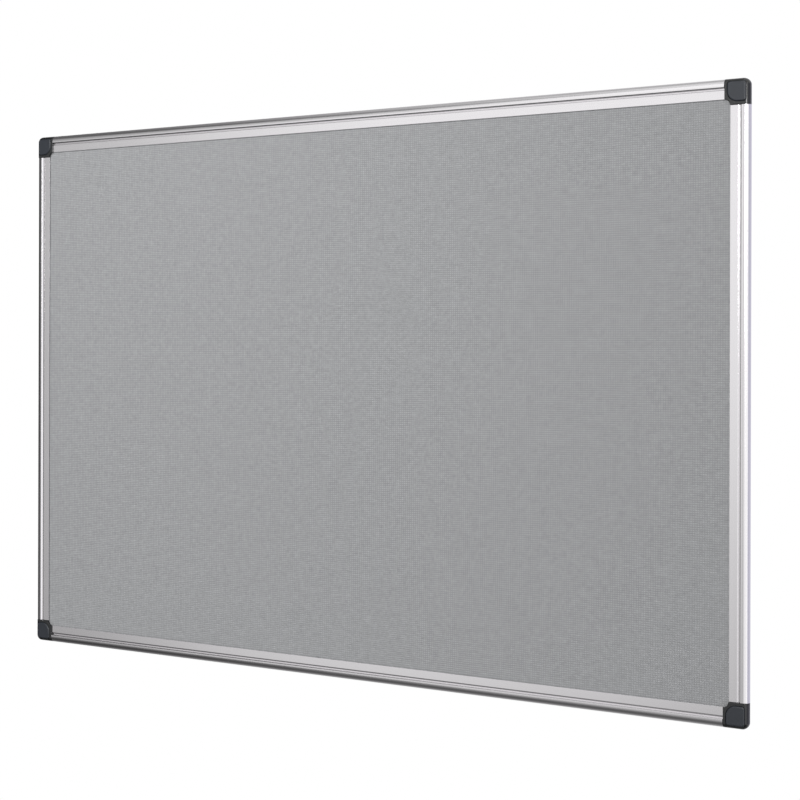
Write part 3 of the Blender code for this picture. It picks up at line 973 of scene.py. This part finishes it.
def ceiling_level(tree, x, y, z):
    """The dark band along the top of the upper rail, which fades out to the right."""
    sideways = ramp(tree, x, [
        (-6.0, 0.30), (-3.7, 0.20), (-3.0, 0.09), (-2.5, 0.12), (-2.0, 0.23), (-1.7, 0.32),
        (-1.4, 0.48), (-1.2, 0.62), (-0.9, 0.75), (-0.5, 0.95),
    ])
    inwards = ramp(tree, y, [
        (-2.6, 0.95), (-1.8, 0.72), (-0.9, 0.44), (0.0, 0.45), (0.5, 0.6), (1.2, 0.75),
    ])
    return math_node(tree, "MINIMUM", sideways, inwards)


def floor_level(tree, x, y, z):
    """The dark band along the underside of the lower rail."""
    inwards = ramp(tree, y, [
        (-1.75, 0.46), (-1.5, 0.40), (-0.96, 0.16), (-0.66, 0.09), (-0.40, 0.10), (-0.16, 0.19),
        (0.12, 0.36), (0.6, 0.55), (1.2, 0.7),
    ])
    sideways = ramp(tree, x, [(-2.6, 0.5), (-1.1, 0.5), (-0.6, 0.9), (0.0, 1.0), (1.4, 1.0)])
    return math_node(tree, "MULTIPLY", inwards, sideways)


def left_level(tree, x, y, z):
    """The dark outer edge of the left rail."""
    return ramp(tree, y, [(-1.7, 0.20), (-1.5, 0.15), (-0.8, 0.06), (0.5, 0.05), (2.2, 0.05)])


def right_level(tree, x, y, z):
    """The lilac band along the outer edge of the right rail."""
    return ramp(tree, y, [(-1.05, 0.56), (0.8, 0.50), (2.0, 0.60)])


screen("front_screen", [
    (far_left, front, -1.7), (2.6, front, -1.7), (2.6, front, ceiling), (far_left, front, ceiling),
], front_level)
screen("ceiling_screen", [
    (far_left, front, ceiling), (-0.2, front, ceiling), (-0.2, 1.8, ceiling),
    (far_left, 1.8, ceiling),
], ceiling_level)
screen("floor_screen", [
    (-2.6, -1.75, -0.95), (1.4, -1.75, -0.95), (1.4, 1.2, -0.95), (-2.6, 1.2, -0.95),
], floor_level)
screen("left_screen", [
    (-2.4, -1.7, -1.2), (-2.4, 2.2, -1.2), (-2.4, 2.2, 1.1), (-2.4, -1.7, 1.1),
], left_level)
screen("right_screen", [
    (2.4, -1.03, -1.3), (2.4, 2.0, -1.3), (2.4, 2.0, 1.2), (2.4, -1.03, 1.2),
], right_level, lilac)
screen("back_screen", [
    (-0.4, 2.0, -1.3), (2.4, 2.0, -1.3), (2.4, 2.0, 1.2), (-0.4, 2.0, 1.2),
], right_level, lilac)


def soft_lamp(name, place, size, power, target, only_in_gloss):
    """A rectangular lamp that faces a point; it shows either on matt surfaces or in gloss."""
    data = bpy.data.lights.new(name, "AREA")
    data.shape = "RECTANGLE"
    data.size, data.size_y = size
    data.energy = power
    lamp = bpy.data.objects.new(name, data)
    lamp.location = place
    lamp.rotation_euler = (Vector(target) - Vector(place)).to_track_quat("-Z", "Y").to_euler()
    lamp.visible_camera = False
    lamp.visible_glossy = only_in_gloss
    lamp.visible_diffuse = not only_in_gloss
    scene.collection.objects.link(lamp)


soft_lamp("key_lamp", (-0.38, -1.75, 0.85), (1.0, 1.0), 27.5, (0, 0, 0), False)
soft_lamp("side_softbox", (1.35, -2.33, 0.85), (0.75, 1.3), 20.0, (0.45, 0, 0), True)

world = bpy.data.worlds.new("surround")
scene.world = world
world.use_nodes = True
tree = world.node_tree
ray = tree.nodes.new("ShaderNodeLightPath").outputs
seen = math_node(tree, "MAXIMUM", ray["Is Camera Ray"], ray["Is Glossy Ray"])
seen = math_node(tree, "MAXIMUM", seen, ray["Is Transmission Ray"])
feed(tree, tree.nodes["Background"], {
    "Color": (1, 1, 1, 1),
    "Strength": math_node(tree, "MULTIPLY_ADD", seen, 1.0 - surround_light, surround_light),
})
